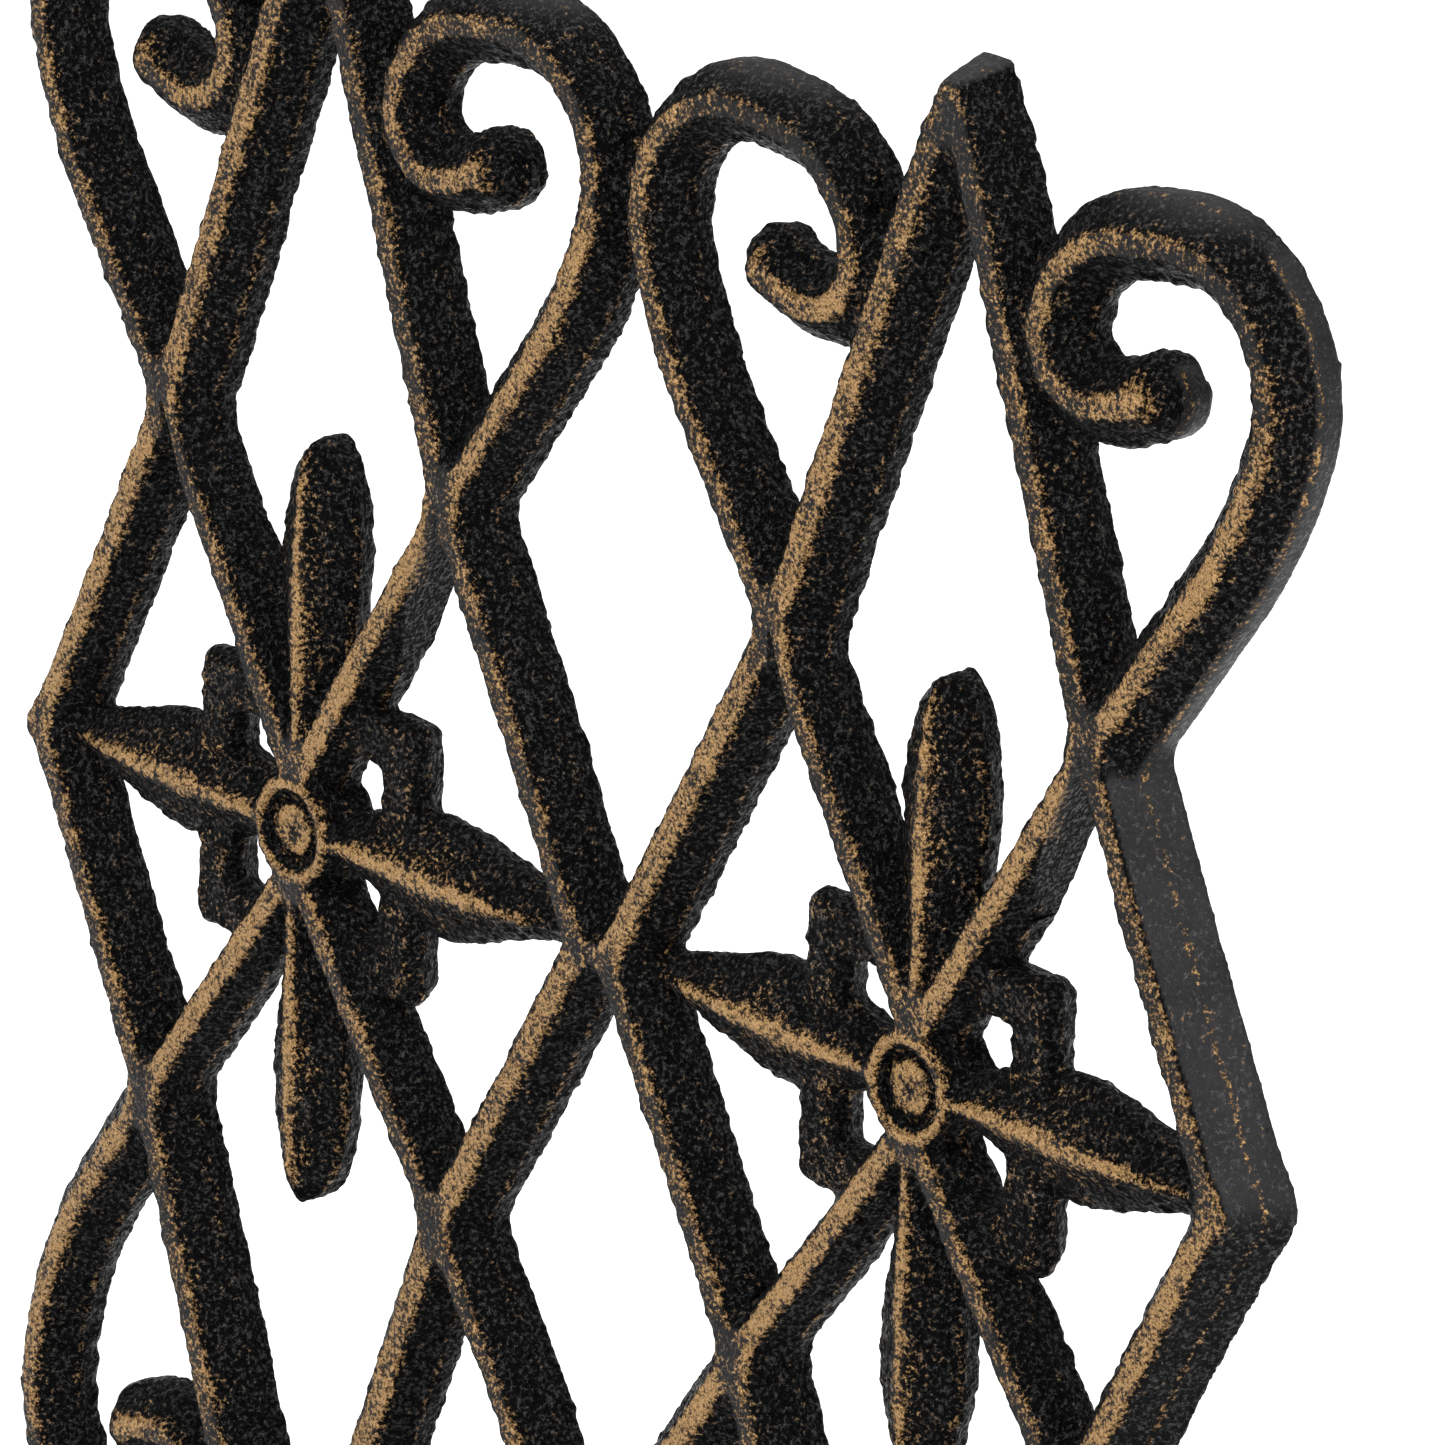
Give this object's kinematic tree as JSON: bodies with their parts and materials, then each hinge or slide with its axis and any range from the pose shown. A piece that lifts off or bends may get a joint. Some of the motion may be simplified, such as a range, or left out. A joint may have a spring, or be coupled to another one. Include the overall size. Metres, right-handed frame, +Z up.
{
  "type": "metal trellis panel",
  "caption": "Openwork cast-iron trellis panel: diamond lattice with leaf rosettes, spear points and scrolled ends above and below.",
  "frame": {"origin": "on the flat back of the casting, where the four centre bars of the lattice cross", "axes": "+X along the panel to the right seen from the front, +Y out of the flat back, +Z up; the front faces -Y"},
  "size_m": [0.2826, 0.0105, 0.3112],
  "materials": {
    "black_iron": "rough sand-cast black with antique bronze rubbed onto the crests",
    "bronzed_iron": "rough sand-cast black with heavy antique bronze rubbed over the raised parts"
  },
  "bodies": {
    "root": {"left_inner_leaf": "bronzed_iron", "left_lower_centre_bar": "black_iron", "left_lower_edge_bar": "black_iron", "left_lower_inner_bracket": "black_iron", "left_lower_inner_diagonal": "black_iron", "left_lower_inner_scroll": "black_iron", "left_lower_leaf": "bronzed_iron", "left_lower_outer_bracket": "black_iron", "left_lower_outer_diagonal": "black_iron", "left_lower_outer_scroll": "black_iron", "left_lower_spear_head": "black_iron", "left_lower_spear_inner_leg": "black_iron", "left_lower_spear_outer_leg": "black_iron", "left_outer_leaf": "bronzed_iron", "left_rosette_hub": "bronzed_iron", "left_upper_centre_bar": "black_iron", "left_upper_edge_bar": "black_iron", "left_upper_inner_bracket": "black_iron", "left_upper_inner_diagonal": "black_iron", "left_upper_inner_scroll": "black_iron", "left_upper_leaf": "bronzed_iron", "left_upper_outer_bracket": "black_iron", "left_upper_outer_diagonal": "black_iron", "left_upper_outer_scroll": "black_iron", "left_upper_spear_head": "black_iron", "left_upper_spear_inner_leg": "black_iron", "left_upper_spear_outer_leg": "black_iron", "right_inner_leaf": "bronzed_iron", "right_lower_centre_bar": "black_iron", "right_lower_edge_bar": "black_iron", "right_lower_inner_bracket": "black_iron", "right_lower_inner_diagonal": "black_iron", "right_lower_inner_scroll": "black_iron", "right_lower_leaf": "bronzed_iron", "right_lower_outer_bracket": "black_iron", "right_lower_outer_diagonal": "black_iron", "right_lower_outer_scroll": "black_iron", "right_lower_spear_head": "black_iron", "right_lower_spear_inner_leg": "black_iron", "right_lower_spear_outer_leg": "black_iron", "right_outer_leaf": "bronzed_iron", "right_rosette_hub": "bronzed_iron", "right_upper_centre_bar": "black_iron", "right_upper_edge_bar": "black_iron", "right_upper_inner_bracket": "black_iron", "right_upper_inner_diagonal": "black_iron", "right_upper_inner_scroll": "black_iron", "right_upper_leaf": "bronzed_iron", "right_upper_outer_bracket": "black_iron", "right_upper_outer_diagonal": "black_iron", "right_upper_outer_scroll": "black_iron", "right_upper_spear_head": "black_iron", "right_upper_spear_inner_leg": "black_iron", "right_upper_spear_outer_leg": "black_iron"}
  },
  "joints": []
}
